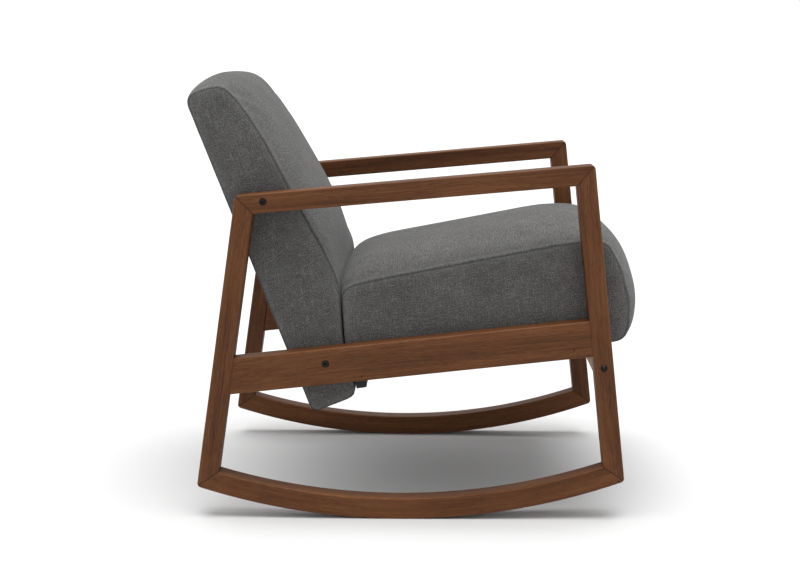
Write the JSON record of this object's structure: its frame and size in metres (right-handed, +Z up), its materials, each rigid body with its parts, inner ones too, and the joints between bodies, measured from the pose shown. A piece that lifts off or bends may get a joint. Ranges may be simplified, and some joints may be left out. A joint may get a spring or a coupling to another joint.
{
  "type": "rocking chair",
  "caption": "Upholstered rocking chair: timber side frames with mitred arms, legs and curved rockers carry a padded seat and a reclined padded back.",
  "frame": {"origin": "on the floor, midway between the side frames, on the line where the rockers touch the floor at rest", "axes": "+X towards the front of the chair, +Y to the sitter's left, +Z up"},
  "size_m": [0.7953, 0.6514, 0.7753],
  "materials": {
    "stained_wood": "walnut stain under satin lacquer",
    "raw_wood": "unfinished hardwood",
    "grey_fabric": "mid-grey slub linen weave",
    "foam": "polyurethane foam with wadding",
    "black_lining": "black non-woven cambric",
    "fibreboard": "thin fibreboard",
    "spring_steel": "drawn spring wire",
    "black_steel": "black oxide",
    "zinc_steel": "zinc plated"
  },
  "bodies": {
    "root": {"arm_rest_right": "stained_wood", "rear_leg_right": "stained_wood", "front_leg_right": "stained_wood", "rocker_right": "stained_wood", "seat_rail_right": "stained_wood", "arm_rest_left": "stained_wood", "rear_leg_left": "stained_wood", "front_leg_left": "stained_wood", "rocker_left": "stained_wood", "seat_rail_left": "stained_wood", "front_cross_rail": "stained_wood", "mitre_dowels": "raw_wood", "rail_dowels": "raw_wood", "seat_side_board_right": "raw_wood", "seat_side_board_left": "raw_wood", "seat_rear_board": "raw_wood", "seat_front_board": "raw_wood", "seat_corner_blocks": "raw_wood", "back_stile_right": "raw_wood", "back_stile_left": "raw_wood", "back_bottom_rail": "raw_wood", "back_middle_rail": "raw_wood", "back_top_rail": "raw_wood", "seat_cover": "grey_fabric", "back_cover": "grey_fabric", "seat_foam": "foam", "back_foam": "foam", "dust_cover": "black_lining", "seat_rear_batten": "black_lining", "back_lining_board": "fibreboard", "seat_springs": "spring_steel", "seat_spring_clips": "spring_steel", "back_springs": "spring_steel", "back_spring_clips": "spring_steel", "arm_bolts": "black_steel", "rail_bolts": "black_steel", "leg_bolts": "black_steel", "washers": "black_steel", "threaded_inserts": "zinc_steel", "seat_screws": "zinc_steel", "batten_screws": "zinc_steel"}
  },
  "joints": []
}
